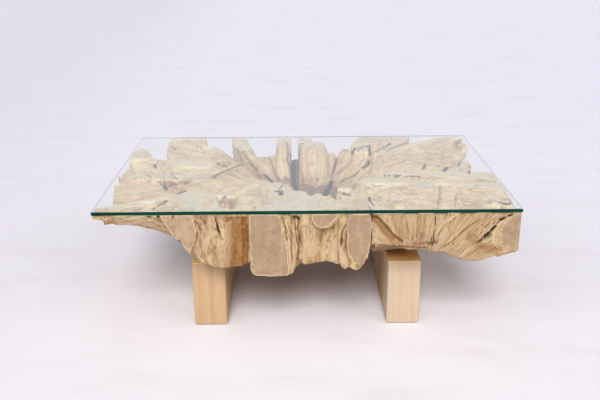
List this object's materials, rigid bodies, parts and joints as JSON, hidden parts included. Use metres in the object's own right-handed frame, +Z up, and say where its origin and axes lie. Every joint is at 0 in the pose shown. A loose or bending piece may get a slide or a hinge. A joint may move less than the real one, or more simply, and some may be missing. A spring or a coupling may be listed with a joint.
{
  "type": "coffee table",
  "caption": "Coffee table with a teak root base of joined, sawn-flat root sections on two block legs, under a loose clear rectangular glass sheet.",
  "frame": {"origin": "centre of the table's footprint, on the floor", "axes": "+X along the length to the table's right, +Y to the back, +Z up"},
  "size_m": [1.2, 0.8, 0.42],
  "materials": {
    "clear_glass": "polished",
    "clear_bumper": "clear silicone",
    "heartwood": "natural, sanded",
    "golden_root": "natural, sanded",
    "pale_root": "natural, sanded",
    "leg_wood": "satin, sanded",
    "peg_wood": "plain",
    "felt": "felt"
  },
  "bodies": {
    "base": {"glass_bumpers": "clear_bumper", "root_heart": "heartwood", "front_left_root": "golden_root", "front_centre_root": "pale_root", "front_right_root": "pale_root", "right_root": "pale_root", "back_right_corner_root": "pale_root", "back_right_root": "pale_root", "back_centre_root": "pale_root", "back_centre_fin": "pale_root", "back_left_fin": "pale_root", "back_left_root": "pale_root", "left_root": "pale_root", "root_pegs": "peg_wood", "leg_dowels": "peg_wood", "left_leg_front_block": "leg_wood", "left_leg_second_block": "leg_wood", "left_leg_third_block": "leg_wood", "left_leg_back_block": "leg_wood", "right_leg_front_block": "leg_wood", "right_leg_second_block": "leg_wood", "right_leg_third_block": "leg_wood", "right_leg_back_block": "leg_wood", "left_foot_pad": "felt", "right_foot_pad": "felt"},
    "glass": {"glass_top": "clear_glass"}
  },
  "joints": [
    {"name": "glass_lift", "type": "slide", "parent": "base", "child": "glass", "axis": [0, 0, 1], "range_m": [0, 0.15]}
  ]
}
